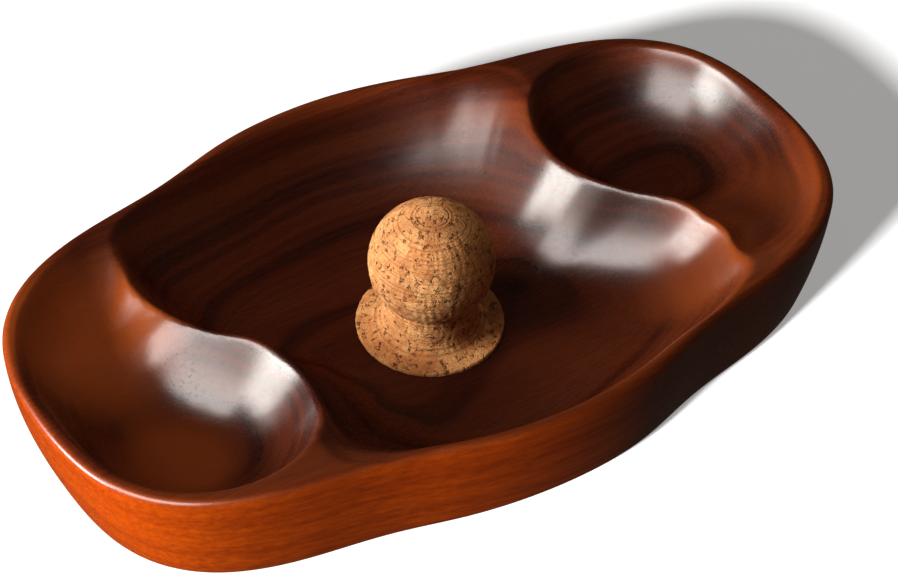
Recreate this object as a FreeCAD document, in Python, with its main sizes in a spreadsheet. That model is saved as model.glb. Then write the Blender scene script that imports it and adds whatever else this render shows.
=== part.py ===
import FreeCAD, Part
import Sketcher
import math
import os

# Chip and dip server: one carved wooden tray with a deep middle well for chips and
# a comma-shaped dip bowl at each end, and a turned cork knob that stands in the well
# on a wooden peg.
#
# Frame, in millimetres: origin on the table under the middle of the base, +Z up,
# +X along the length towards the bowl whose deep round end lies on the +Y side.
# The tray is the same when it is turned half round about Z.

document = FreeCAD.newDocument("ChipAndDipServer")
FULL_TURN = 360.0
HALF_TURN = 180.0

SIZES = {
    # The rim seen from above is a wavy oval. Its reach from the middle is this mean
    # plus a few even waves of the direction, given below.
    "rim_mean_reach": 151.7,
    "tray_height": 60.0,
    # The side wall leans in towards the base, most at the two ends.
    "side_lean": 8.5,
    "side_lean_ends": 2.3,
    "side_lean_corners": 1.6,
    "base_rounding": 8.0,
    "rim_rounding": 3.0,
    "well_depth": 49.5,
    "well_floor_radius": 38.0,
    "bowl_depth": 38.5,
    "bowl_floor_radius": 8.0,
    # The deepest place of the bowl at +X.
    "bowl_low_point_x": 133.0,
    "bowl_low_point_y": 22.0,
    # The shallow tail of the same bowl.
    "tail_depth": 18.0,
    "tail_floor_radius": 4.0,
    "tail_low_point_x": 152.0,
    "tail_low_point_y": -38.0,
    # Knob, from the well's floor upwards.
    "flange_radius": 35.3,
    "flange_edge": 2.6,
    "flange_top": 3.4,
    "cove_foot_radius": 29.5,
    "cove_top_height": 11.5,
    "neck_foot_radius": 22.6,
    "neck_radius": 22.0,
    "ball_radius": 29.6,
    "ball_centre_height": 41.8,
    # Peg glued into the floor, and the bore in the knob that drops over it.
    "peg_radius": 5.0,
    "peg_sunk": 6.0,
    "peg_stand": 16.0,
    "peg_chamfer": 1.0,
    "peg_running_gap": 0.06,
    "peg_top_gap": 1.5,
}

# Even waves of the rim outline: how many waves go round, how much along the cosine
# and how much along the sine of the direction.
RIM_WAVES = [
    (2, 44.1, 0.0),
    (4, 10.0, 1.1),
    (6, -2.1, -0.6),
    (8, -2.9, -0.6),
    (10, -0.8, -0.1),
]

# Every dip bowl is two hollows that run together: the deep round end and a shallow tail.
# A hollow is described by directions round its lowest point, where it has a small
# flat round floor. Each row gives the direction in degrees, the reach to its edge at
# the rim plane, the fullness (a larger number is a steeper wall that starts further
# out) and the softness (a larger number lets the wall run out more gently into the
# rim).
WELL_SHAPE = [
    (-33, 146.0, 4.0, 1.0),
    (-26, 143.2, 4.0, 1.0),
    (-21, 138.7, 3.9, 1.0),
    (-16, 132.0, 3.6, 1.0),
    (-7, 116.4, 3.0, 1.1),
    (1, 100.9, 2.6, 1.2),
    (13, 94.5, 2.4, 1.3),
    (22, 97.2, 2.4, 1.4),
    (29, 105.4, 2.5, 1.6),
    (35, 117.5, 2.6, 1.9),
    (42, 129.5, 2.7, 2.0),
    (50, 127.5, 2.9, 1.7),
    (60, 118.5, 3.4, 1.3),
    (75, 113.2, 4.0, 1.05),
    (90, 112.2, 4.4, 1.0),
    (110, 115.6, 4.5, 1.0),
    (125, 122.5, 4.3, 1.0),
    (138, 137.0, 4.1, 1.0),
]
BOWL_SHAPE = [
    (-180, 50.0, 1.9, 1.25),
    (-160, 46.5, 1.85, 1.3),
    (-140, 45.0, 1.8, 1.3),
    (-120, 46.5, 1.8, 1.3),
    (-100, 52.0, 1.9, 1.35),
    (-80, 61.0, 2.0, 1.4),
    (-60, 68.0, 2.1, 1.3),
    (-45, 70.0, 2.2, 1.15),
    (-30, 65.0, 2.4, 1.05),
    (-15, 59.5, 2.5, 1.0),
    (0, 57.0, 2.6, 0.95),
    (30, 57.0, 2.6, 0.9),
    (60, 58.0, 2.6, 0.9),
    (90, 59.5, 2.6, 0.9),
    (120, 59.5, 2.6, 0.9),
    (140, 58.0, 2.3, 1.0),
    (160, 54.5, 2.0, 1.15),
]
TAIL_SHAPE = [
    (-180, 35.0, 2.0, 1.6),
    (-160, 32.5, 2.0, 1.6),
    (-145, 37.0, 2.0, 1.6),
    (-130, 52.0, 2.0, 1.6),
    (-115, 48.5, 2.0, 1.4),
    (-100, 40.5, 2.0, 1.2),
    (-80, 34.5, 2.1, 1.1),
    (-55, 31.0, 2.3, 1.0),
    (-30, 31.5, 2.4, 1.0),
    (-5, 34.5, 2.4, 1.0),
    (20, 42.0, 2.3, 1.0),
    (45, 55.0, 2.1, 1.1),
    (70, 64.0, 2.0, 1.2),
    (90, 60.0, 2.0, 1.3),
    (115, 50.0, 2.0, 1.5),
    (140, 43.0, 2.0, 1.6),
    (160, 38.0, 2.0, 1.6),
]

# How far down the side wall its outlines are taken, as parts of the height.
SIDE_LEVELS = (0.0, 0.3, 0.65, 1.0)
# How far down a hollow its outlines are taken, as parts of the depth.
HOLLOW_LEVELS = (0.03, 0.12, 0.28, 0.48, 0.68, 0.84, 0.94, 1.0)
# How far above the rim the cutting shapes start.
CUT_ABOVE_RIM = 5.0
OUTLINE_STEPS = 40
WELL_STEPS = 40
BOWL_STEPS = 36
TAIL_STEPS = 36
# An edge lies in a plane when it is nearer to it than this.
NEAR = 0.01
# The rim's outer edge is as long as the tray, to within this.
RIM_MARGIN = 20.0
# Where the ball's arc passes on its way up, in degrees above its middle.
BALL_ARC_MIDDLE = 20
QUARTER_TURN = 90


def make_sheet():
    """Put every size in a sheet, each under its own name."""
    sheet = document.addObject("Spreadsheet::Sheet", "Sizes")
    for row, (name, value) in enumerate(SIZES.items(), start=1):
        sheet.set(f"A{row}", name)
        sheet.set(f"B{row}", str(value))
        sheet.setAlias(f"B{row}", name)
    document.recompute()
    return sheet


def size(name):
    return float(sheet.get(name))


def rim_reach(direction):
    """Distance from the middle to the rim's outside, in a direction in radians."""
    reach = size("rim_mean_reach")
    for waves, along_cosine, along_sine in RIM_WAVES:
        reach += along_cosine * math.cos(waves * direction)
        reach += along_sine * math.sin(waves * direction)
    return reach


def side_inset(direction, share_down):
    """How far the side wall stands inside the rim, at a share of the height down."""
    lean = size("side_lean")
    lean += size("side_lean_ends") * math.cos(2 * direction)
    lean += size("side_lean_corners") * math.cos(4 * direction)
    return lean * share_down ** 2


def outline_points(share_down):
    points = []
    for step in range(OUTLINE_STEPS):
        direction = 2 * math.pi * step / OUTLINE_STEPS
        reach = rim_reach(direction) - side_inset(direction, share_down)
        points.append((reach * math.cos(direction), reach * math.sin(direction)))
    return points


def between_rows(rows, turn, degrees):
    """Reach, fullness and softness in one direction: a smooth curve through the rows,
    whose slope at each row is the weighted mean of the slopes on its two sides."""
    count = len(rows)

    def row(index):
        lap, place = divmod(index, count)
        found = rows[place]
        return (found[0] + lap * turn,) + tuple(found[1:])

    start = rows[0][0]
    degrees = (degrees - start) % turn + start
    index = 0
    while row(index + 1)[0] <= degrees:
        index += 1
    before, low, high, after = (row(index + shift) for shift in (-1, 0, 1, 2))
    gap_before = low[0] - before[0]
    gap = high[0] - low[0]
    gap_after = after[0] - high[0]
    share = (degrees - low[0]) / gap
    values = []
    for column in (1, 2, 3):
        slope_before = (low[column] - before[column]) / gap_before
        slope_here = (high[column] - low[column]) / gap
        slope_after = (after[column] - high[column]) / gap_after
        slope_low = (slope_before * gap + slope_here * gap_before) / (gap + gap_before)
        slope_high = (slope_here * gap_after + slope_after * gap) / (gap + gap_after)
        value = (2 * share ** 3 - 3 * share ** 2 + 1) * low[column]
        value += (share ** 3 - 2 * share ** 2 + share) * gap * slope_low
        value += (3 * share ** 2 - 2 * share ** 3) * high[column]
        value += (share ** 3 - share ** 2) * gap * slope_high
        values.append(value)
    return values


def hollow_points(rows, turn, steps, centre, floor_radius, share_down):
    """Outline of a hollow at a share of its depth down. In every direction the depth
    at a part r of the way from the floor's edge to the reach is
    (1 - r ** fullness) ** softness of the full depth."""
    points = []
    for step in range(steps):
        degrees = FULL_TURN * step / steps
        reach, fullness, softness = between_rows(rows, turn, degrees)
        left = 1 - share_down ** (1 / softness)
        part = max(left, 0.0) ** (1 / fullness)
        distance = floor_radius + part * (reach - floor_radius)
        direction = math.radians(degrees)
        x = centre[0] + distance * math.cos(direction)
        y = centre[1] + distance * math.sin(direction)
        points.append((x, y))
    return points


def origin_plane(body, role):
    for feature in body.Origin.OriginFeatures:
        if feature.Role == role:
            return feature
    raise ValueError(role)


def new_body(name, label):
    body = document.addObject("PartDesign::Body", name)
    body.Label = label
    return body


def new_sketch(body, name, role, height=None):
    """A sketch on one of the body's own planes, lifted by a formula on the sheet."""
    sketch = body.newObject("Sketcher::SketchObject", name)
    sketch.AttachmentSupport = [(origin_plane(body, role), "")]
    sketch.MapMode = "FlatFace"
    if height is not None:
        sketch.setExpression("AttachmentOffset.Base.z", height)
    return sketch


def ring_sketch(body, name, points, height):
    """A closed smooth curve through the points, level with the base."""
    sketch = new_sketch(body, name, "XY_Plane", height)
    curve = Part.BSplineCurve()
    corners = [FreeCAD.Vector(x, y, 0) for x, y in points]
    curve.interpolate(Points=corners, PeriodicFlag=True)
    sketch.addGeometry(curve, False)
    return sketch


def loft(body, kind, name, sketches):
    feature = body.newObject(kind, name)
    feature.Profile = sketches[0]
    feature.Sections = sketches[1:]
    feature.Ruled = False
    document.recompute()
    for sketch in sketches:
        sketch.Visibility = False
    return feature


def hollow_sketches(body, name, rows, turn, steps, centre, floor_name, depth_name):
    """Outlines of a hollow from above the rim down to its floor."""
    rings = []
    for share in HOLLOW_LEVELS:
        rings.append(hollow_points(rows, turn, steps, centre, size(floor_name), share))
    upper, lower = rings[0], rings[1]
    depth = size(depth_name)
    rise = CUT_ABOVE_RIM + depth * HOLLOW_LEVELS[0]
    drop = depth * (HOLLOW_LEVELS[1] - HOLLOW_LEVELS[0])
    ahead = rise / drop
    above = []
    for (ux, uy), (lx, ly) in zip(upper, lower):
        above.append((ux + (ux - lx) * ahead, uy + (uy - ly) * ahead))
    top_height = f"Sizes.tray_height + {CUT_ABOVE_RIM}"
    sketches = [ring_sketch(body, f"{name}Above", above, top_height)]
    for number, (share, ring) in enumerate(zip(HOLLOW_LEVELS, rings), start=1):
        height = f"Sizes.tray_height - Sizes.{depth_name} * {share}"
        sketches.append(ring_sketch(body, f"{name}Level{number}", ring, height))
    return sketches


def circle_sketch(body, name, radius, height=None):
    """A circle round the Z axis, its radius and height set by formulas on the sheet."""
    sketch = new_sketch(body, name, "XY_Plane", height)
    centre = FreeCAD.Vector(0, 0, 0)
    up = FreeCAD.Vector(0, 0, 1)
    ring = sketch.addGeometry(Part.Circle(centre, up, 1.0), False)
    sketch.addConstraint(Sketcher.Constraint("Coincident", ring, 3, -1, 1))
    number = sketch.addConstraint(Sketcher.Constraint("Radius", ring, 1.0))
    sketch.setExpression(f"Constraints[{number}]", radius)
    return sketch


def pocket(body, name, sketch, depth, upwards=False):
    """Cut the sketch straight down, or up, and check that a round wall was cut."""
    before = len(body.Shape.Faces)
    feature = body.newObject("PartDesign::Pocket", name)
    feature.Profile = sketch
    feature.Type = "Length"
    feature.Reversed = upwards
    feature.setExpression("Length", depth)
    document.recompute()
    sketch.Visibility = False
    if len(feature.Shape.Faces) <= before:
        raise ValueError(f"{name} cuts nothing")
    return feature


def round_edges(body, name, radius, wanted):
    """Round the edges of the newest feature that the test picks out."""
    base = body.Tip
    names = []
    for number, edge in enumerate(base.Shape.Edges, start=1):
        if wanted(edge):
            names.append(f"Edge{number}")
    if not names:
        raise ValueError(f"{name} finds no edge")
    feature = body.newObject("PartDesign::Fillet", name)
    feature.Base = (base, names)
    feature.setExpression("Radius", radius)
    document.recompute()
    return feature


def make_tray():
    body = new_body("TrayBody", "tray")
    sides = []
    for number, share in enumerate(SIDE_LEVELS, start=1):
        height = f"Sizes.tray_height * (1 - {share})"
        sides.append(ring_sketch(body, f"SideOutline{number}", outline_points(share), height))
    loft(body, "PartDesign::AdditiveLoft", "Block", sides)
    hole = circle_sketch(body, "PegHoleRing", "Sizes.peg_radius", "Sizes.tray_height")
    pocket(body, "PegHole", hole, "Sizes.well_depth + Sizes.peg_sunk")
    well = hollow_sketches(body, "Well", WELL_SHAPE, HALF_TURN, WELL_STEPS,
                           (0.0, 0.0), "well_floor_radius", "well_depth")
    loft(body, "PartDesign::SubtractiveLoft", "MiddleWell", well)
    low_point = (size("bowl_low_point_x"), size("bowl_low_point_y"))
    bowl = hollow_sketches(body, "Bowl", BOWL_SHAPE, FULL_TURN, BOWL_STEPS,
                           low_point, "bowl_floor_radius", "bowl_depth")
    dip = loft(body, "PartDesign::SubtractiveLoft", "DipBowl", bowl)
    low_point = (size("tail_low_point_x"), size("tail_low_point_y"))
    tail = hollow_sketches(body, "Tail", TAIL_SHAPE, FULL_TURN, TAIL_STEPS,
                           low_point, "tail_floor_radius", "tail_depth")
    scoop = loft(body, "PartDesign::SubtractiveLoft", "BowlTail", tail)
    pair = body.newObject("PartDesign::PolarPattern", "BothBowls")
    pair.Originals = [dip, scoop]
    pair.Axis = (origin_plane(body, "Z_Axis"), [""])
    pair.Angle = FULL_TURN
    pair.Occurrences = 2
    body.Tip = pair
    document.recompute()
    height = size("tray_height")

    def round_the_rim(edge):
        box = edge.BoundBox
        return box.ZMin > height - NEAR and box.XLength > 2 * rim_reach(0.0) - RIM_MARGIN

    def round_the_base(edge):
        return edge.BoundBox.ZMax < NEAR

    round_edges(body, "RimRounding", "Sizes.rim_rounding", round_the_rim)
    round_edges(body, "BaseRounding", "Sizes.base_rounding", round_the_base)
    return body


def make_peg():
    """A turned wooden peg, glued into the floor, with a chamfered top."""
    body = new_body("PegBody", "locating_peg")
    foot = "Sizes.tray_height - Sizes.well_depth - Sizes.peg_sunk"
    ring = circle_sketch(body, "PegRing", "Sizes.peg_radius", foot)
    pad = body.newObject("PartDesign::Pad", "PegStem")
    pad.Profile = ring
    pad.setExpression("Length", "Sizes.peg_sunk + Sizes.peg_stand")
    document.recompute()
    ring.Visibility = False
    top = pad.Shape.BoundBox.ZMax
    names = []
    for number, edge in enumerate(pad.Shape.Edges, start=1):
        if edge.BoundBox.ZMin > top - NEAR:
            names.append(f"Edge{number}")
    chamfer = body.newObject("PartDesign::Chamfer", "PegChamfer")
    chamfer.Base = (pad, names)
    chamfer.setExpression("Size", "Sizes.peg_chamfer")
    document.recompute()
    return body


def make_knob():
    """Turned from one piece of cork: a thin round flange, a cove up to a short neck,
    and a ball. The half section is drawn on the XZ plane and turned about Z."""
    body = new_body("KnobBody", "cork_knob")
    floor = "(Sizes.tray_height - Sizes.well_depth)"
    sketch = new_sketch(body, "KnobHalfSection", "XZ_Plane")
    flange = size("flange_radius")
    edge = size("flange_edge")
    top = size("flange_top")
    cove = size("cove_foot_radius")
    cove_top = size("cove_top_height")
    neck_foot = size("neck_foot_radius")
    neck = size("neck_radius")
    ball = size("ball_radius")
    ball_centre = size("ball_centre_height")
    lift = size("tray_height") - size("well_depth")
    neck_top = ball_centre - math.sqrt(ball ** 2 - neck ** 2)

    def point(x, z):
        return FreeCAD.Vector(x, lift + z, 0)

    def cove_point(share):
        angle = math.radians(QUARTER_TURN * share)
        x = cove - (cove - neck_foot) * math.sin(angle)
        return point(x, cove_top - (cove_top - top) * math.cos(angle))

    def ball_point(degrees):
        angle = math.radians(degrees)
        return point(ball * math.cos(angle), ball_centre + ball * math.sin(angle))

    neck_angle = math.degrees(math.asin((neck_top - ball_centre) / ball))
    cove_curve = Part.Arc(point(cove, top), cove_point(0.5), point(neck_foot, cove_top))
    ball_middle = ball_point(BALL_ARC_MIDDLE)
    ball_curve = Part.Arc(ball_point(neck_angle), ball_middle, ball_point(QUARTER_TURN))
    path = [
        Part.LineSegment(point(0, 0), point(flange, 0)),
        Part.LineSegment(point(flange, 0), point(flange, edge)),
        Part.LineSegment(point(flange, edge), point(cove, top)),
        cove_curve,
        Part.LineSegment(point(neck_foot, cove_top), point(neck, neck_top)),
        ball_curve,
        Part.LineSegment(ball_point(QUARTER_TURN), point(0, 0)),
    ]
    sketch.addGeometry(path, False)
    turned = body.newObject("PartDesign::Revolution", "TurnedKnob")
    turned.Profile = sketch
    turned.ReferenceAxis = (sketch, ["V_Axis"])
    turned.Angle = FULL_TURN
    document.recompute()
    sketch.Visibility = False
    ring = circle_sketch(body, "PegBoreRing", "Sizes.peg_radius + Sizes.peg_running_gap", floor)
    pocket(body, "PegBore", ring, "Sizes.peg_stand + Sizes.peg_top_gap", upwards=True)
    return body


def check_and_write(bodies):
    """Stop on any fault, then write one file for each piece."""
    document.recompute()
    for thing in document.Objects:
        if "Invalid" in thing.State or "Error" in thing.State:
            raise ValueError(f"{thing.Name} is {thing.State}")
    for body in bodies:
        if body.Shape.isNull() or not body.Shape.isValid():
            raise ValueError(f"{body.Label} has no sound shape")
    os.makedirs("parts", exist_ok=True)
    for body in bodies:
        print(body.Label, body.Shape.BoundBox)
        body.Shape.exportStep(f"parts/{body.Label}.step")


sheet = make_sheet()
check_and_write([make_tray(), make_peg(), make_knob()])
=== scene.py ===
import bpy
import math
import numpy as np
from mathutils import Matrix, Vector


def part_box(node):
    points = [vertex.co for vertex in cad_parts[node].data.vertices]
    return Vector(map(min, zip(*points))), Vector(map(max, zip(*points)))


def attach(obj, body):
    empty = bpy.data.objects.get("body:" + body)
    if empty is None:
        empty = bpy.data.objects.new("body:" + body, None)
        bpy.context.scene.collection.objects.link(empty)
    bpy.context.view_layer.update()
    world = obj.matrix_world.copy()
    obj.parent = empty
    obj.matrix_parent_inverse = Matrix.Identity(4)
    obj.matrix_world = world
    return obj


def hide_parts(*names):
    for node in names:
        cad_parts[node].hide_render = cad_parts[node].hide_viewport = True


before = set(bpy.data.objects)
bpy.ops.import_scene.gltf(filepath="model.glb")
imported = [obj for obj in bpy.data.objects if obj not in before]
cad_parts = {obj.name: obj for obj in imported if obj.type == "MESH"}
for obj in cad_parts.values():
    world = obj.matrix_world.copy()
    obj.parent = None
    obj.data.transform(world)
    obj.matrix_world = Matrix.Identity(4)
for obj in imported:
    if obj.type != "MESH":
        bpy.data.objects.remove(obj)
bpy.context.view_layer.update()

# Chip and dip server: one carved mahogany tray with a middle well and two curved dip
# bowls, and a turned cork knob that stands in the well. Metres, +Z up, +X along the
# length towards the bowl whose deep round end lies on the +Y side.


# ---------------------------------------------------------------- sizes of the tray

MM = 0.001
FULL_TURN = 360.0
HALF_TURN = 180.0

TRAY_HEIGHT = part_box("tray")[1].z
WELL_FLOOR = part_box("cork_knob")[0].z
WELL_DEPTH = TRAY_HEIGHT - WELL_FLOOR
WELL_FLOOR_RADIUS = 38.0 * MM
BOWL_DEPTH = 38.5 * MM
BOWL_FLOOR_RADIUS = 8.0 * MM
BOWL_LOW_POINT = (133.0 * MM, 22.0 * MM)
TAIL_DEPTH = 18.0 * MM
TAIL_FLOOR_RADIUS = 4.0 * MM
TAIL_LOW_POINT = (152.0 * MM, -38.0 * MM)
# How far the side leans in by the base, in mm: all round, more at the ends, more at the
# ends and the middle of the long sides.
SIDE_LEAN = (8.5, 2.3, 1.6)
RIM_ROUNDING = 3.6 * MM
BASE_ROUNDING = 8.0 * MM

# Differences of depth over which two surfaces run into each other: a bowl and its
# tail, two hollows at a crest, a hollow and the rim plane.
TAIL_SOFTNESS = 14.0 * MM
CREST_SOFTNESS = 5.0 * MM
LIP_SOFTNESS = 4.5 * MM

# The rim's outline: a mean reach from the middle in mm, and even waves round it: how
# many, then their height along the cosine and along the sine in mm.
RIM_MEAN_REACH = 151.7
RIM_WAVES = (
    (2, 44.1, 0.0),
    (4, 10.0, 1.1),
    (6, -2.1, -0.6),
    (8, -2.9, -0.6),
    (10, -0.8, -0.1),
)
# Shapes of the hollows. Each row: direction in degrees, reach to the edge in mm,
# fullness, softness. The well's rows cover half a turn and serve the other half too.
WELL_SHAPE = (
    (-33, 146.0, 4.0, 1.0),
    (-26, 143.2, 4.0, 1.0),
    (-21, 138.7, 3.9, 1.0),
    (-16, 132.0, 3.6, 1.0),
    (-7, 116.4, 3.0, 1.1),
    (1, 100.9, 2.6, 1.2),
    (13, 94.5, 2.4, 1.3),
    (22, 97.2, 2.4, 1.4),
    (29, 105.4, 2.5, 1.6),
    (35, 117.5, 2.6, 1.9),
    (42, 129.5, 2.7, 2.0),
    (50, 127.5, 2.9, 1.7),
    (60, 118.5, 3.4, 1.3),
    (75, 113.2, 4.0, 1.05),
    (90, 112.2, 4.4, 1.0),
    (110, 115.6, 4.5, 1.0),
    (125, 122.5, 4.3, 1.0),
    (138, 137.0, 4.1, 1.0),
)
BOWL_SHAPE = (
    (-180, 50.0, 1.9, 1.25),
    (-160, 46.5, 1.85, 1.3),
    (-140, 45.0, 1.8, 1.3),
    (-120, 46.5, 1.8, 1.3),
    (-100, 52.0, 1.9, 1.35),
    (-80, 61.0, 2.0, 1.4),
    (-60, 68.0, 2.1, 1.3),
    (-45, 70.0, 2.2, 1.15),
    (-30, 65.0, 2.4, 1.05),
    (-15, 59.5, 2.5, 1.0),
    (0, 57.0, 2.6, 0.95),
    (30, 57.0, 2.6, 0.9),
    (60, 58.0, 2.6, 0.9),
    (90, 59.5, 2.6, 0.9),
    (120, 59.5, 2.6, 0.9),
    (140, 58.0, 2.3, 1.0),
    (160, 54.5, 2.0, 1.15),
)
TAIL_SHAPE = (
    (-180, 35.0, 2.0, 1.6),
    (-160, 32.5, 2.0, 1.6),
    (-145, 37.0, 2.0, 1.6),
    (-130, 52.0, 2.0, 1.6),
    (-115, 48.5, 2.0, 1.4),
    (-100, 40.5, 2.0, 1.2),
    (-80, 34.5, 2.1, 1.1),
    (-55, 31.0, 2.3, 1.0),
    (-30, 31.5, 2.4, 1.0),
    (-5, 34.5, 2.4, 1.0),
    (20, 42.0, 2.3, 1.0),
    (45, 55.0, 2.1, 1.1),
    (70, 64.0, 2.0, 1.2),
    (90, 60.0, 2.0, 1.3),
    (115, 50.0, 2.0, 1.5),
    (140, 43.0, 2.0, 1.6),
    (160, 38.0, 2.0, 1.6),
)

# The tray's grid. Inside the band along the rim, rows lie at shares of the way out to
# that band: from, up to, how many.
AROUND_TRAY = 560
RIM_BAND = 12.0 * MM
INNER_SHARES = (
    (0.10, 0.19, 3),
    (0.19, 0.42, 24),
    (0.42, 0.82, 72),
)
LAST_SHARES = (0.82, 1.0, 16)
RIM_ROWS = 14
OVER_ROWS = 7
SIDE_ROWS = 15
BASE_ROWS = 9
# One ring under the base, at a share of the reach less a step in.
UNDER_STEP = 0.04
UNDER_SHARE = 0.6
# How much of the side's colour, painted paler as painted light, the rim already has where
# its rounding begins.
RIM_LIT_SIDE_SHARE = 0.20


# ---------------------------------------------------------------- meshes

def grid_mesh(name, points, low_pole, high_pole):
    """A surface from rows of points that each close on themselves, where each row is
    joined to the next by four-sided faces. The poles are two more points, and a fan of
    triangles closes the first row to the low one and the last row to the high one."""
    rows, around = points.shape[:2]
    row = np.arange(rows - 1)[:, None] * around
    here = np.arange(around)[None, :]
    ahead = (here + 1) % around
    quads = np.stack(
        [row + here, row + ahead, row + around + ahead, row + around + here], axis=-1)
    low = np.full(around, rows * around)
    low_fan = np.stack([ahead[0], here[0], low], axis=-1)
    last = (rows - 1) * around
    high_fan = np.stack([last + here[0], last + ahead[0], low + 1], axis=-1)
    faces = quads.reshape(-1, 4).tolist() + low_fan.tolist() + high_fan.tolist()
    verts = np.vstack([points.reshape(-1, 3), low_pole, high_pole])
    mesh = bpy.data.meshes.new(name)
    mesh.from_pydata(verts.tolist(), [], faces)
    mesh.update()
    mesh.shade_smooth()
    piece = bpy.data.objects.new(name, mesh)
    bpy.context.scene.collection.objects.link(piece)
    return piece


def rim_reach(direction):
    """Reach of the rim: a mean plus even waves of the direction."""
    reach = np.full_like(direction, RIM_MEAN_REACH)
    for waves, along_cosine, along_sine in RIM_WAVES:
        reach += along_cosine * np.cos(waves * direction)
        reach += along_sine * np.sin(waves * direction)
    return reach * MM


def side_inset(direction, share_down):
    """How far the side stands inside the rim: a lean times the share down, squared."""
    mean, ends, corners = SIDE_LEAN
    lean = mean + ends * np.cos(2 * direction) + corners * np.cos(4 * direction)
    return lean * share_down ** 2 * MM


def between_rows(rows, turn, degrees):
    """Reach, fullness and softness in any direction: a cubic through the rows whose
    slope at each row is the weighted mean of the slopes on its two sides."""
    table = np.array(rows)
    laps = [table + [shift * turn, 0, 0, 0] for shift in (-1, 0, 1)]
    table = np.vstack(laps)
    angle = table[:, 0]
    value = table[:, 1:]
    gap = np.diff(angle)[:, None]
    step = np.diff(value, axis=0) / gap
    slope = np.zeros_like(value)
    slope[1:-1] = (step[:-1] * gap[1:] + step[1:] * gap[:-1]) / (gap[:-1] + gap[1:])
    start = rows[0][0]
    wanted = (degrees - start) % turn + start
    low = np.clip(np.searchsorted(angle, wanted, side="right") - 1, 0, len(angle) - 2)
    span = gap[low]
    u = (wanted - angle[low])[:, None] / span
    found = (2 * u ** 3 - 3 * u ** 2 + 1) * value[low]
    found += (u ** 3 - 2 * u ** 2 + u) * span * slope[low]
    found += (3 * u ** 2 - 2 * u ** 3) * value[low + 1]
    found += (u ** 3 - u ** 2) * span * slope[low + 1]
    return found[:, 0] * MM, found[:, 1], found[:, 2]


def hollow_depth(x, y, rows, turn, floor_radius, depth):
    """Depth below the rim plane: depth * (1 - r ** fullness) ** softness, where r is
    the part of the way from the floor's edge to the reach. Past the reach it goes on
    up in a straight slope."""
    distance = np.hypot(x, y)
    degrees = np.degrees(np.arctan2(y, x))
    reach, fullness, softness = between_rows(rows, turn, degrees)
    part = np.maximum(distance - floor_radius, 0) / (reach - floor_radius)
    left = 1 - part ** fullness
    inside = np.maximum(left, 0) ** softness
    return depth * np.where(left > 0, inside, left)


def smooth_larger(a, b, width):
    """The larger of two, plus a quarter of the width times the square of how near they
    are to equal, which is 1 where they are equal and 0 a width apart."""
    near = np.maximum(width - np.abs(a - b), 0) / width
    return np.maximum(a, b) + near ** 2 * width / 4


def dip_bowl(x, y):
    """Depth of the bowl at +X: the smooth larger of its deep round end and its tail."""
    bx, by = BOWL_LOW_POINT
    tx, ty = TAIL_LOW_POINT
    bowl = hollow_depth(
        x - bx, y - by, BOWL_SHAPE, FULL_TURN, BOWL_FLOOR_RADIUS, BOWL_DEPTH)
    tail = hollow_depth(
        x - tx, y - ty, TAIL_SHAPE, FULL_TURN, TAIL_FLOOR_RADIUS, TAIL_DEPTH)
    return smooth_larger(bowl, tail, TAIL_SOFTNESS)


def hollow_total(x, y):
    """Depth of the well and the two bowls together, never above the rim plane: the
    smooth larger of all three and nought. The far bowl is the near one after half a
    turn."""
    well = hollow_depth(x, y, WELL_SHAPE, HALF_TURN, WELL_FLOOR_RADIUS, WELL_DEPTH)
    depth = smooth_larger(well, dip_bowl(x, y), CREST_SOFTNESS)
    depth = smooth_larger(depth, dip_bowl(-x, -y), CREST_SOFTNESS)
    return smooth_larger(depth, np.zeros_like(depth), LIP_SOFTNESS)


def inner_shares():
    """Shares of the way out to the rim's band, closer together where the walls are."""
    runs = [np.linspace(*run, endpoint=False) for run in INNER_SHARES]
    return np.concatenate(runs + [np.linspace(*LAST_SHARES)])


def tray_rows():
    """Rows of points round the middle. Inner rows lie at the height of the rim plane
    less the depth of the hollows. The outer rows follow a quarter ellipse over the rim,
    the leaning side, and a quarter ellipse in to the base."""
    direction = 2 * np.pi * np.arange(AROUND_TRAY) / AROUND_TRAY
    reach = rim_reach(direction)
    rows = []

    def add_row(distance, height):
        x = distance * np.cos(direction)
        y = distance * np.sin(direction)
        rows.append(np.stack([x, y, height + 0 * x], axis=-1))

    def add_top(distance, drop):
        x = distance * np.cos(direction)
        y = distance * np.sin(direction)
        add_row(distance, TRAY_HEIGHT - hollow_total(x, y) - drop)

    for share in inner_shares():
        add_top(share * (reach - RIM_BAND), 0)
    for share in np.linspace(0, 1, RIM_ROWS + 1)[1:]:
        add_top(reach - RIM_BAND + share * (RIM_BAND - RIM_ROUNDING), 0)
    for angle in np.linspace(0, np.pi / 2, OVER_ROWS + 1)[1:]:
        over = RIM_ROUNDING * (1 - math.sin(angle))
        drop = RIM_ROUNDING * (1 - math.cos(angle))
        add_top(reach - over - side_inset(direction, drop / TRAY_HEIGHT), drop)
    side_head = RIM_ROUNDING / TRAY_HEIGHT
    side_foot = 1 - BASE_ROUNDING / TRAY_HEIGHT
    for share in np.linspace(side_head, side_foot, SIDE_ROWS + 1)[1:]:
        add_row(reach - side_inset(direction, share), TRAY_HEIGHT * (1 - share))
    for angle in np.linspace(0, np.pi / 2, BASE_ROWS + 1)[1:]:
        height = BASE_ROUNDING * (1 - math.sin(angle))
        tuck = BASE_ROUNDING * (1 - math.cos(angle))
        share = 1 - height / TRAY_HEIGHT
        add_row(reach - side_inset(direction, share) - tuck, height)
    add_row((reach - UNDER_STEP) * UNDER_SHARE, 0)
    return np.stack(rows)


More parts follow.
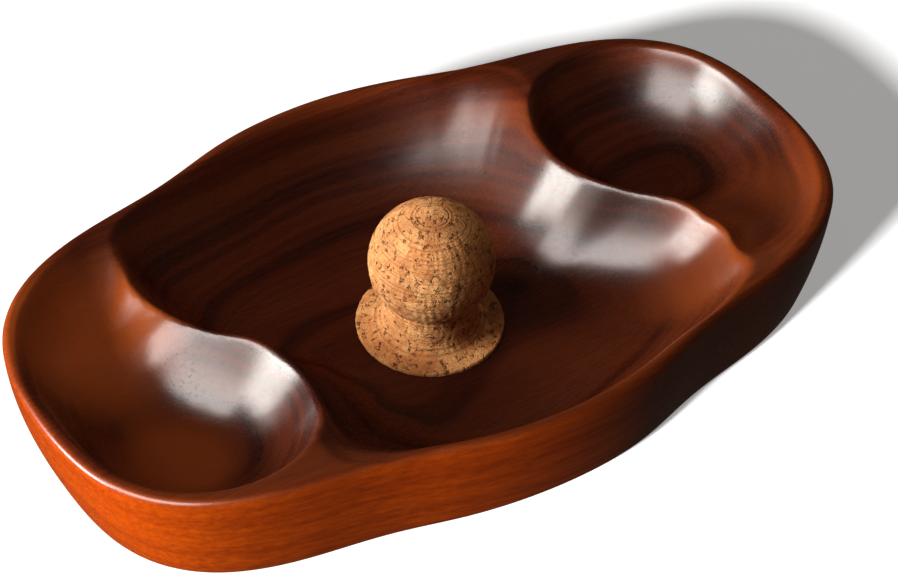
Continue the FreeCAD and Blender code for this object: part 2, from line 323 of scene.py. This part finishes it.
def carved_tray():
    """The tray's rows as a closed surface. Every point also carries a share: 0 in the
    hollows, climbing row by row over the rim, 1 on the side and the base. It sets how much
    of the side's colour, painted paler and more orange as painted light, shows over the
    hollows' colour, painted darker as painted shade. Rows run clockwise seen from above, so
    that the faces look outwards."""
    points = tray_rows()
    tray = grid_mesh("CarvedTray", points[:, ::-1], (0, 0, WELL_FLOOR), (0, 0, 0))
    rows_inside = len(inner_shares())
    rows_below = len(points) - rows_inside - RIM_ROWS - OVER_ROWS
    by_row = np.concatenate([
        np.zeros(rows_inside),
        np.linspace(0, RIM_LIT_SIDE_SHARE, RIM_ROWS),
        np.linspace(RIM_LIT_SIDE_SHARE, 1, OVER_ROWS),
        np.ones(rows_below),
    ])
    by_point = np.concatenate([np.repeat(by_row, AROUND_TRAY), [0, 1]])
    lit_side_share = tray.data.attributes.new("lit_side_share", "FLOAT", "POINT")
    lit_side_share.data.foreach_set("value", by_point.astype(np.float32))
    return tray


# The knob's half section, in mm up from the well's floor.
FOOT_START = 2
FLANGE_RADIUS = 35.3
FLANGE_EDGE = 2.6
FLANGE_EDGE_ROUND = 0.8
FLANGE_TOP = 3.4
FLANGE_TOP_STEP = 1.5
COVE_FOOT_RADIUS = 29.5
COVE_TOP_HEIGHT = 11.5
NECK_FOOT_RADIUS = 22.6
NECK_RADIUS = 22.0
BALL_RADIUS = 29.6
BALL_CENTRE_HEIGHT = 41.8
# Its top row stops this much short of the pole, in radians, and the pole lies this much
# below the full ball, in mm.
BALL_TOP_GAP = 0.02
BALL_TOP_SINK = 0.02
# Points along each stretch of the section, and round the knob.
FOOT_POINTS = 12
EDGE_POINTS = 9
TOP_POINTS = 8
COVE_POINTS = 14
NECK_POINTS = 14
BALL_POINTS = 90
AROUND_KNOB = 360

# Wear: how many waves are summed, the least and most waves round the knob, how fast they
# climb in radians a metre, the sum that counts as full, and half the full wear in mm.
WEAR_SEED = 7
WEAR_WAVES = 60
WEAR_LEAST = 6
WEAR_MOST = 60
WEAR_CLIMB = 900
WEAR_FULL = 11
WEAR_HALF = 0.14


def knob_section():
    """Half section of the knob: a flat foot, a half ellipse round a thin edge, a top that
    rises a little, a quarter ellipse cove up to the neck, a straight neck, and the
    ball's arc to the top."""
    edge_middle = FLANGE_RADIUS - FLANGE_EDGE_ROUND
    radius = [np.linspace(FOOT_START, edge_middle, FOOT_POINTS)]
    height = [np.zeros(FOOT_POINTS)]
    turn = np.linspace(-np.pi / 2, np.pi / 2, EDGE_POINTS)
    radius.append(edge_middle + FLANGE_EDGE_ROUND * np.cos(turn))
    height.append(FLANGE_EDGE / 2 + FLANGE_EDGE / 2 * np.sin(turn))
    radius.append(np.linspace(FLANGE_RADIUS - FLANGE_TOP_STEP, COVE_FOOT_RADIUS, TOP_POINTS))
    height.append(np.linspace(FLANGE_EDGE, FLANGE_TOP, TOP_POINTS))
    turn = np.linspace(0, np.pi / 2, COVE_POINTS)[1:]
    radius.append(COVE_FOOT_RADIUS - (COVE_FOOT_RADIUS - NECK_FOOT_RADIUS) * np.sin(turn))
    height.append(COVE_TOP_HEIGHT - (COVE_TOP_HEIGHT - FLANGE_TOP) * np.cos(turn))
    neck_drop = math.sqrt(BALL_RADIUS ** 2 - NECK_RADIUS ** 2)
    neck_top = BALL_CENTRE_HEIGHT - neck_drop
    radius.append(np.linspace(NECK_FOOT_RADIUS, NECK_RADIUS, NECK_POINTS)[1:-1])
    height.append(np.linspace(COVE_TOP_HEIGHT, neck_top, NECK_POINTS)[1:-1])
    ball_start = -math.asin(neck_drop / BALL_RADIUS)
    turn = np.linspace(ball_start, np.pi / 2 - BALL_TOP_GAP, BALL_POINTS)
    radius.append(BALL_RADIUS * np.cos(turn))
    height.append(BALL_CENTRE_HEIGHT + BALL_RADIUS * np.sin(turn))
    return np.concatenate(radius) * MM, np.concatenate(height) * MM


def turned_knob():
    """The knob's half section turned about Z. The radius is worn in by a sum of sine
    waves of the direction and the height, so that the edges are a little ragged."""
    radius, height = knob_section()
    direction = 2 * np.pi * np.arange(AROUND_KNOB) / AROUND_KNOB
    rng = np.random.default_rng(WEAR_SEED)
    wear = np.zeros((len(radius), AROUND_KNOB))
    for _ in range(WEAR_WAVES):
        waves = rng.integers(WEAR_LEAST, WEAR_MOST)
        climb = rng.uniform(-WEAR_CLIMB, WEAR_CLIMB)
        start = rng.uniform(0, 2 * np.pi)
        wear += np.sin(waves * direction[None, :] + climb * height[:, None] + start)
    wear = np.clip(wear / WEAR_FULL, -1, 1)
    distance = radius[:, None] - (wear + 1) * WEAR_HALF * MM
    x = distance * np.cos(direction)
    y = distance * np.sin(direction)
    z = np.broadcast_to(height[:, None] + WELL_FLOOR, x.shape)
    points = np.stack([x, y, z], axis=-1)
    top = WELL_FLOOR + (BALL_CENTRE_HEIGHT + BALL_RADIUS - BALL_TOP_SINK) * MM
    return grid_mesh("TurnedKnob", points, (0, 0, WELL_FLOOR), (0, 0, top))


# ---------------------------------------------------------------- shader maths

class Value:
    """A number socket that takes part in ordinary sums."""

    def __init__(self, shader, socket):
        self.shader = shader
        self.socket = socket

    def maths(self, operation, *inputs):
        """The result of one sum on these numbers or links."""
        return Value(self.shader, self.shader.node(
            "ShaderNodeMath", {"operation": operation}, dict(enumerate(inputs))))

    def __add__(self, other):
        return self.maths("ADD", self, other)

    def __radd__(self, other):
        return self.maths("ADD", other, self)

    def __sub__(self, other):
        return self.maths("SUBTRACT", self, other)

    def __rsub__(self, other):
        return self.maths("SUBTRACT", other, self)

    def __mul__(self, other):
        return self.maths("MULTIPLY", self, other)

    def __rmul__(self, other):
        return self.maths("MULTIPLY", other, self)

    def root(self):
        """The square root."""
        return self.maths("SQRT", self)

    def swing(self):
        """How far it lies above or below its middle, a half."""
        return self - 0.5

    def step_between(self, low, high):
        """0 below low, 1 above high, eased between."""
        return Value(self.shader, self.shader.node(
            "ShaderNodeMapRange", {"interpolation_type": "SMOOTHSTEP"},
            dict(enumerate((self, low, high, 0.0, 1.0)))))


class Shader:
    """A material being built."""

    def __init__(self, name):
        self.material = bpy.data.materials.new(name)
        self.material.use_nodes = True
        self.tree = self.material.node_tree
        self.surface = self.tree.nodes["Principled BSDF"]

    def put(self, place, given):
        """Puts a number, a colour or a link into a socket."""
        if isinstance(given, Value):
            given = given.socket
        if isinstance(given, bpy.types.NodeSocket):
            self.tree.links.new(given, place)
        else:
            place.default_value = given

    def node(self, kind, settings, sockets, output=0):
        """Any node: its settings are set first, then its sockets by name or by place.
        Gives back one of its outputs."""
        node = self.tree.nodes.new(kind)
        for key, value in settings.items():
            setattr(node, key, value)
        for key, given in sockets.items():
            self.put(node.inputs[key], given)
        return node.outputs[output]

    def finish(self, name, given):
        """Sets one of the surface's own sockets."""
        self.put(self.surface.inputs[name], given)

    def position(self):
        """Where a point lies in its piece."""
        return self.node("ShaderNodeTexCoord", {}, {}, "Object")

    def parts(self, vector):
        """The three numbers of a vector or a colour."""
        first = self.node("ShaderNodeSeparateXYZ", {}, {0: vector})
        return [Value(self, place) for place in first.node.outputs]

    def noise(self, vector, scale, detail=2.0, roughness=0.5):
        """Clouds with this many cells a metre: one number for all ways, or three for X,
        Y and Z."""
        if isinstance(scale, tuple):
            vector = self.node(
                "ShaderNodeVectorMath", {"operation": "MULTIPLY"}, {0: vector, 1: scale})
            scale = 1.0
        return Value(self, self.node(
            "ShaderNodeTexNoise", {"noise_dimensions": "3D"},
            {"Vector": vector, "Scale": scale, "Detail": detail, "Roughness": roughness}))

    def bands(self, along, scale, detail=2.0, roughness=0.5):
        """Uneven bands along one number."""
        return Value(self, self.node(
            "ShaderNodeTexNoise", {"noise_dimensions": "1D"},
            {"W": along, "Scale": scale, "Detail": detail, "Roughness": roughness}))

    def borders(self, vector, scale):
        """Distance to the nearest border between crumbs, this many crumbs a metre."""
        return Value(self, self.node(
            "ShaderNodeTexVoronoi", {"feature": "DISTANCE_TO_EDGE"},
            {"Vector": vector, "Scale": scale, "Randomness": 1.0}))

    def mix(self, share, first, second):
        """From the first colour to the second as the share goes from 0 to 1."""
        factor, colour_a, colour_b, result = 0, 6, 7, 2
        return self.node(
            "ShaderNodeMix", {"data_type": "RGBA"},
            {factor: share, colour_a: first, colour_b: second}, result)

    def bump(self, height, distance, strength):
        """Small relief, as a normal: how deep it is in metres, and how strong."""
        return self.node(
            "ShaderNodeBump", {},
            {"Height": height, "Distance": distance, "Strength": strength})


# ---------------------------------------------------------------- materials

# Wood colours from dark to light, in the hollows and on the side, and the steps of tone over
# which each runs into the next. The hollows' colours are painted darker as painted shade,
# the side's paler and more orange as painted light; both carry the grain.
SHADED_HOLLOW_WOOD = (
    (0.030, 0.0050, 0.0024, 1),
    (0.090, 0.0150, 0.0045, 1),
    (0.160, 0.0320, 0.0080, 1),
)
LIT_SIDE_WOOD = (
    (0.190, 0.0230, 0.0005, 1),
    (0.300, 0.0410, 0.0006, 1),
    (0.430, 0.0760, 0.0010, 1),
)
TONE_STEPS = ((0.05, 0.55), (0.40, 0.95))
# Colour of the painted pools of light.
PAINTED_LIGHT_WOOD = (0.360, 0.0740, 0.0130, 1)
PORE_WOOD = (0.012, 0.003, 0.001, 1)
# Painted pools of light, paler wood on the floor and the tail of the bowl at -X, the tail of
# the bowl at +X and the well's corner by it: middle in x and y, reach, share.
PAINTED_LIGHT_PATCHES = (
    (-0.146, -0.030, 0.036, 0.75),
    (-0.153, 0.038, 0.047, 1.0),
    (0.160, -0.040, 0.040, 0.30),
    (0.118, -0.052, 0.040, 0.60),
)
# How far in a patch stays full, as a share of its reach, and how ragged its edge is.
PATCH_FULL = 0.4
PATCH_RAGGED = 0.02
# The line that the growth rings stand round: its y and z, and how flat the rings are.
HEART_Y = -0.035
HEART_Z = -0.16
RING_FLATNESS = 0.55
# Growth bands a metre out from that line.
BROAD_BANDS = 60.0
RING_BANDS = 260.0
FINE_BANDS = 1500.0
# How far the rings are bent aside, in metres, slowly and finely.
WANDER_REACH = 0.030
RIPPLE_REACH = 0.004
# Cells a metre along, across and up.
WANDER_CELLS = (2.5, 7, 7)
RIPPLE_CELLS = (9, 30, 30)
CLOUD_CELLS = (5, 14, 14)
LINE_CELLS = (12, 420, 420)
FIBRE_CELLS = (22, 900, 900)
PORE_CELLS = (70, 2100, 2100)
# The step of a band from dark to light, and of the noise to a pore.
BAND_STEP = (0.30, 0.70)
PORE_STEP = (0.63, 0.74)
# What each part adds to the tone of the hollows.
TONE_START = 0.15
BROAD_TONE = 0.45
RING_TONE = 0.25
CLOUD_TONE = 0.6
FIBRE_TONE = 0.35
FINE_TONE = 0.15
# The tone of the side: its middle, how much it follows the hollows' tone on both sides
# of that tone's middle, and what its fine lines add.
SIDE_TONE = 0.35
SIDE_FOLLOWS = 0.45
HOLLOW_TONE_MIDDLE = 0.45
LINE_TONE = 1.1
PORE_DARKNESS = 0.35
# The polish: how rough it is, and what each part adds; its clear coat; its relief.
WOOD_ROUGHNESS = 0.27
FIBRE_ROUGHNESS = 0.10
PORE_ROUGHNESS = 0.12
CLOUD_ROUGHNESS = 0.06
COAT = 0.25
COAT_ROUGHNESS = 0.26
WOOD_SHINE = 0.45
FIBRE_RELIEF = 0.35
FINE_RELIEF = 0.25
PORE_RELIEF = 0.9
WOOD_RELIEF = (0.00006, 0.6)

# Cork colours and the bits it is made of, in bits a metre.
PALE_CORK = (0.80, 0.44, 0.185, 1)
TAN_CORK = (0.55, 0.200, 0.060, 1)
BROWN_CORK = (0.28, 0.080, 0.024, 1)
JOINT_CORK = (0.16, 0.050, 0.018, 1)
CRACK_CORK = (0.12, 0.036, 0.014, 1)
PIT_CORK = (0.045, 0.015, 0.008, 1)
BEND_CELLS = 170.0
BEND_REACH = (0.006, 0.006, 0.006)
CRUMBS = 150.0
CRACKS = 430.0
SPECKS = 900.0
GATES = 330.0
PITS = 420.0
PATCHES = 60.0
TURNING_MARKS = 900.0
LAYER_CELLS = (500, 500, 1500)
# The tone from tan to pale: its start, and what each crumb's tint and the specks add.
CORK_TONE_START = 0.20
TINT_TONE = 0.45
SPECK_TONE = 2.2
# Where each part shows: a step of its noise, or how far it reaches from a border. The
# gate decides where joints and cracks are open.
DARK_CRUMB_STEP = (0.66, 0.90)
PATCH_STEP = (0.42, 0.70)
MARK_STEP = (0.55, 0.70)
PIT_STEP = (0.66, 0.72)
PITTED_CRUMB_STEP = (0.35, 0.75)
JOINT_REACH = 0.08
JOINT_GATE = (0.50, 0.60)
CRACK_REACH = 0.12
CRACK_GATE = (0.56, 0.64)
# How strongly each part darkens the cork.
DARK_CRUMB_SHARE = 0.30
PATCH_SHARE = 0.40
MARK_SHARE = 0.35
JOINT_SHARE = 0.35
JOINT_SPECK_SHARE = 0.6
CRACK_SHARE = 0.9
# How rough it is and what the specks add; its shine; what each part raises or sinks.
CORK_ROUGHNESS = 0.86
SPECK_ROUGHNESS = 0.15
CORK_SHINE = 0.25
SPECK_RELIEF = 0.45
LAYER_RELIEF = 0.25
TINT_RELIEF = 0.25
JOINT_RELIEF = 0.4
CRACK_RELIEF = 0.7
PIT_RELIEF = 1.4
MARK_RELIEF = 0.3
CORK_RELIEF = (0.0010, 0.9)

# Beech of the peg: streak and fleck colours and cells.
BEECH_DARK = (0.50, 0.31, 0.16, 1)
BEECH_PALE = (0.66, 0.46, 0.27, 1)
BEECH_FLECK = (0.30, 0.16, 0.08, 1)
STREAK_CELLS = (900, 900, 60)
FLECK_CELLS = (2500, 2500, 300)
STREAK_STEP = (0.3, 0.7)
FLECK_STEP = (0.62, 0.70)
FLECK_SHARE = 0.5
BEECH_ROUGHNESS = 0.55
STREAK_ROUGHNESS = 0.2
FLECK_RELIEF = 0.4
BEECH_RELIEF = (0.0001, 0.5)

FLOOR_WHITE = (0.90, 0.90, 0.90, 1)
FLOOR_GLOW = (1.0, 1.0, 1.0, 1)
FLOOR_GLOW_STRENGTH = 0.31
FLOOR_ROUGHNESS = 0.9
FLOOR_SHINE = 0.1


def graded(s, tone, colours):
    """Dark, then middle, then light wood as the tone climbs."""
    dark, middle, light = colours
    first_step, second_step = TONE_STEPS
    shade = s.mix(tone.step_between(*first_step), dark, middle)
    return s.mix(tone.step_between(*second_step), shade, light)


def mahogany():
    """Growth rings are shells round a line that runs along the block, far below it.
    Their distance from that line, bent a little by noise, gives dark and light bands;
    fine streaks and short pores run along the block."""
    s = Shader("Mahogany")
    place = s.position()
    x, y, z = s.parts(place)
    wander = s.noise(place, WANDER_CELLS, detail=3.0)
    ripple = s.noise(place, RIPPLE_CELLS)
    cloud = s.noise(place, CLOUD_CELLS)
    lines = s.noise(place, LINE_CELLS, detail=4.0, roughness=0.65)
    fibre = s.noise(place, FIBRE_CELLS, detail=3.0, roughness=0.6)
    pores = s.noise(place, PORE_CELLS, detail=1.0).step_between(*PORE_STEP)

    across = y - HEART_Y
    up = z - HEART_Z
    shell = (across * across * RING_FLATNESS + up * up).root()
    shell = shell + wander.swing() * WANDER_REACH + ripple.swing() * RIPPLE_REACH
    broad = s.bands(shell, BROAD_BANDS, detail=2.0, roughness=0.55)
    rings = s.bands(shell, RING_BANDS, detail=3.0, roughness=0.6)
    fine = s.bands(shell, FINE_BANDS, detail=2.0, roughness=0.6)
    tone = broad.step_between(*BAND_STEP) * BROAD_TONE
    tone = tone + rings.step_between(*BAND_STEP) * RING_TONE
    tone = tone + TONE_START + cloud.swing() * CLOUD_TONE
    tone = tone + fibre.swing() * FIBRE_TONE + fine.swing() * FINE_TONE
    side_tone = SIDE_TONE + (tone - HOLLOW_TONE_MIDDLE) * SIDE_FOLLOWS
    side_tone = side_tone + lines.swing() * LINE_TONE

    # The hollows' wood, painted darker as painted shade.
    hollow = graded(s, tone, SHADED_HOLLOW_WOOD)
    # Painted pools of light: paler wood laid over the hollows in patches.
    for middle_x, middle_y, reach, share in PAINTED_LIGHT_PATCHES:
        aside = x - middle_x
        ahead = y - middle_y
        away = (aside * aside + ahead * ahead).root() + wander.swing() * PATCH_RAGGED
        patch = 1 - away.step_between(reach * PATCH_FULL, reach)
        hollow = s.mix(patch * share, hollow, PAINTED_LIGHT_WOOD)
    # Painted light and shade: the side's paler, more orange wood over the hollows' darker
    # wood, by the share each point carries.
    lit_side_share = s.node("ShaderNodeAttribute", {"attribute_name": "lit_side_share"}, {}, "Fac")
    colour = s.mix(lit_side_share, hollow, graded(s, side_tone, LIT_SIDE_WOOD))
    s.finish("Base Color", s.mix(pores * PORE_DARKNESS, colour, PORE_WOOD))
    rough = WOOD_ROUGHNESS + fibre.swing() * FIBRE_ROUGHNESS
    rough = rough + pores * PORE_ROUGHNESS + cloud.swing() * CLOUD_ROUGHNESS
    s.finish("Roughness", rough)
    relief = fibre * FIBRE_RELIEF + fine * FINE_RELIEF - pores * PORE_RELIEF
    s.finish("Normal", s.bump(relief, *WOOD_RELIEF))
    s.finish("Coat Weight", COAT)
    s.finish("Coat Roughness", COAT_ROUGHNESS)
    s.finish("Specular IOR Level", WOOD_SHINE)
    return s.material


def cork():
    """Crushed bark pressed together: cells of 4 to 10 mm, each with its own tone and its
    own short layers, thin dark joints between them, pits where crumbs have left, and
    faint marks of the turning."""
    s = Shader("Cork")
    place = s.position()
    up = s.parts(place)[2]
    bend = s.node(
        "ShaderNodeTexNoise", {"noise_dimensions": "3D"},
        {"Vector": place, "Scale": BEND_CELLS, "Detail": 3.0}, "Color")
    bent = s.node(
        "ShaderNodeVectorMath", {"operation": "MULTIPLY_ADD"},
        {0: bend, 1: BEND_REACH, 2: place})
    crumb = s.node(
        "ShaderNodeTexVoronoi", {"feature": "F1"},
        {"Vector": bent, "Scale": CRUMBS, "Randomness": 1.0}, "Color")
    tint, hollowness, darkness = s.parts(crumb)
    speck = s.noise(place, SPECKS, detail=3.0, roughness=0.65)
    gate = s.noise(place, GATES)
    patch = s.noise(place, PATCHES).step_between(*PATCH_STEP)
    layers = s.noise(place, LAYER_CELLS, detail=2.0, roughness=0.6)

    joint = 1 - s.borders(bent, CRUMBS).step_between(0.0, JOINT_REACH)
    joint = joint * gate.step_between(*JOINT_GATE)
    crack = 1 - s.borders(bent, CRACKS).step_between(0.0, CRACK_REACH)
    crack = crack * gate.step_between(*CRACK_GATE)
    pit = s.noise(bent, PITS, detail=3.0, roughness=0.6).step_between(*PIT_STEP)
    pit = pit * hollowness.step_between(*PITTED_CRUMB_STEP)
    marks = s.bands(up, TURNING_MARKS, detail=3.0, roughness=0.6).step_between(*MARK_STEP)

    tone = CORK_TONE_START + tint * TINT_TONE + speck.swing() * SPECK_TONE
    colour = s.mix(tone, TAN_CORK, PALE_CORK)
    dark_crumb = darkness.step_between(*DARK_CRUMB_STEP)
    colour = s.mix(dark_crumb * DARK_CRUMB_SHARE, colour, BROWN_CORK)
    colour = s.mix(patch * PATCH_SHARE, colour, BROWN_CORK)
    colour = s.mix(marks * MARK_SHARE, colour, BROWN_CORK)
    joint_share = joint * (JOINT_SHARE + speck * JOINT_SPECK_SHARE)
    colour = s.mix(joint_share, colour, JOINT_CORK)
    colour = s.mix(crack * CRACK_SHARE, colour, CRACK_CORK)
    s.finish("Base Color", s.mix(pit, colour, PIT_CORK))
    s.finish("Roughness", CORK_ROUGHNESS + speck.swing() * SPECK_ROUGHNESS)
    raised = speck * SPECK_RELIEF + layers * LAYER_RELIEF + tint * TINT_RELIEF
    sunk = joint * JOINT_RELIEF + crack * CRACK_RELIEF
    sunk = sunk + pit * PIT_RELIEF + marks * MARK_RELIEF
    s.finish("Normal", s.bump(raised - sunk, *CORK_RELIEF))
    s.finish("Specular IOR Level", CORK_SHINE)
    return s.material


def peg_wood():
    """Pale turned beech with fine streaks up the peg."""
    s = Shader("PegWood")
    place = s.position()
    streaks = s.noise(place, STREAK_CELLS, detail=3.0, roughness=0.6)
    flecks = s.noise(place, FLECK_CELLS, detail=1.0)
    colour = s.mix(streaks.step_between(*STREAK_STEP), BEECH_DARK, BEECH_PALE)
    fleck_share = flecks.step_between(*FLECK_STEP) * FLECK_SHARE
    s.finish("Base Color", s.mix(fleck_share, colour, BEECH_FLECK))
    s.finish("Roughness", BEECH_ROUGHNESS + streaks.swing() * STREAK_ROUGHNESS)
    s.finish("Normal", s.bump(streaks + flecks * FLECK_RELIEF, *BEECH_RELIEF))
    return s.material


# ---------------------------------------------------------------- studio

FLOOR_WIDTH = 12.0
# Lights face a point above the middle of the floor. Each: azimuth and elevation in
# degrees, distance, width, height, power, colour.
AIM_HEIGHT = 0.04
WINDOW = (168, 12.5, 1.5, 0.74, 0.50, 35.0, (1.0, 0.97, 0.92))
CARD = (-155, 32, 1.5, 1.3, 0.8, 38.0, (1.0, 0.95, 0.92))
FRONT = (-168, 2, 1.6, 0.6, 0.12, 46.0, (1.0, 0.88, 0.55))
ABOVE = (-170, 52, 1.6, 0.8, 0.8, 7.5, (1.0, 0.84, 0.66))
BACK = (55, 22, 1.6, 0.8, 0.5, 4.0, (1.0, 0.90, 0.80))
KNOB_KEY = (168, 22, 1.5, 0.6, 0.5, 45.0, (1.0, 0.99, 0.93))
# The parallel light for the floor: azimuth, elevation and spread in degrees, strength.
FLOOR_SUN = (-158, 25, 7.0, 7.6)
SKY_COLOUR = (1.0, 0.80, 0.62, 1)
SKY_STRENGTH = 0.035

# The camera's own right, up and back, and its place from the middle of the rim plane.
SENSOR_WIDTH = 36.0
LENS = 100.7
CAMERA_RIGHT = (0.8591, -0.51125, 0.02396)
CAMERA_UP = (0.35395, 0.62729, 0.6937)
CAMERA_BACK = (-0.36968, -0.58748, 0.71986)
CAMERA_PLACE = (-0.42497, -0.69112, 0.81542)


def make_floor():
    """A wide white sheet that glows faintly, as a lit seamless backdrop does. It stays
    out of the pieces' reflections and sends them no light."""
    s = Shader("PaleFloor")
    s.finish("Base Color", FLOOR_WHITE)
    s.finish("Roughness", FLOOR_ROUGHNESS)
    s.finish("Specular IOR Level", FLOOR_SHINE)
    s.finish("Emission Color", FLOOR_GLOW)
    s.finish("Emission Strength", FLOOR_GLOW_STRENGTH)
    bpy.ops.mesh.primitive_plane_add(size=FLOOR_WIDTH, location=(0, 0, 0))
    floor = bpy.context.object
    floor.name = "Floor"
    floor.data.materials.append(s.material)
    floor.visible_glossy = False
    floor.visible_diffuse = False
    return floor


def new_light(name, kind):
    """A light in the scene, not yet placed."""
    light = bpy.data.objects.new(name, bpy.data.lights.new(name, kind))
    bpy.context.scene.collection.objects.link(light)
    return light


def soft_light(name, azimuth, elevation, distance, width, height, power, colour):
    """A rectangle that faces the tray from an azimuth, 0 along +X and 90 along +Y."""
    light = new_light(name, "AREA")
    light.data.shape = "RECTANGLE"
    light.data.size = width
    light.data.size_y = height
    light.data.energy = power
    light.data.color = colour
    across = math.radians(azimuth)
    up = math.radians(elevation)
    light.location = (
        distance * math.cos(up) * math.cos(across),
        distance * math.cos(up) * math.sin(across),
        distance * math.sin(up) + AIM_HEIGHT,
    )
    light.rotation_euler = (math.pi / 2 - up, 0, across + math.pi / 2)
    return light


def far_light(name, azimuth, elevation, spread, strength):
    """A light so far away that its rays are parallel but for a small spread."""
    light = new_light(name, "SUN")
    light.data.energy = strength
    light.data.angle = math.radians(spread)
    tilt = math.pi / 2 - math.radians(elevation)
    light.rotation_euler = (tilt, 0, math.radians(azimuth) + math.pi / 2)
    return light


def shine_on(lights, name, things):
    """Lets the lights reach only these things."""
    only = bpy.data.collections.new(name)
    for thing in things:
        only.objects.link(thing)
    for light in lights:
        light.light_linking.receiver_collection = only


def light_studio(floor, tray, knob, peg):
    """A faint warm sky, a window and a card that show in the polish, low front, high and
    back lights that do not, a key light for the knob alone, and a parallel light that
    makes the shadow on the floor alone."""
    world = bpy.data.worlds.new("Studio")
    bpy.context.scene.world = world
    world.use_nodes = True
    sky = world.node_tree.nodes["Background"]
    sky.inputs["Color"].default_value = SKY_COLOUR
    sky.inputs["Strength"].default_value = SKY_STRENGTH
    window = soft_light("WindowLight", *WINDOW)
    card = soft_light("ReflectingCard", *CARD)
    front = soft_light("FrontLight", *FRONT)
    above = soft_light("HighLight", *ABOVE)
    back = soft_light("BackLight", *BACK)
    key = soft_light("KnobLight", *KNOB_KEY)
    below = far_light("FloorLight", *FLOOR_SUN)
    card.visible_diffuse = False
    for unseen in (front, above, back):
        unseen.visible_glossy = False
    shine_on([window, card, front], "TrayAndPeg", [tray, peg])
    shine_on([above, back], "Pieces", [tray, knob, peg])
    shine_on([key], "KnobOnly", [knob])
    shine_on([below], "FloorOnly", [floor])


def make_camera():
    """Stands to the left of the front, looking down at 46 degrees, turned a little."""
    data = bpy.data.cameras.new("Camera")
    data.sensor_width = SENSOR_WIDTH
    data.lens = LENS
    camera = bpy.data.objects.new("Camera", data)
    bpy.context.scene.collection.objects.link(camera)
    lifted = (CAMERA_PLACE[0], CAMERA_PLACE[1], CAMERA_PLACE[2] + TRAY_HEIGHT)
    columns = [CAMERA_RIGHT, CAMERA_UP, CAMERA_BACK, lifted]
    rows = [[column[i] for column in columns] for i in range(3)]
    camera.matrix_world = Matrix(rows + [[0, 0, 0, 1]])
    bpy.context.scene.camera = camera


tray = carved_tray()
tray.data.materials.append(mahogany())
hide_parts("tray")
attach(tray, "tray_body")

knob = turned_knob()
knob.data.materials.append(cork())
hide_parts("cork_knob")
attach(knob, "knob_body")
knob.visible_glossy = False

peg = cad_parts["locating_peg"]
peg.data.materials.clear()
peg.data.materials.append(peg_wood())

light_studio(make_floor(), tray, knob, peg)
make_camera()
bpy.context.scene.view_settings.view_transform = "Standard"
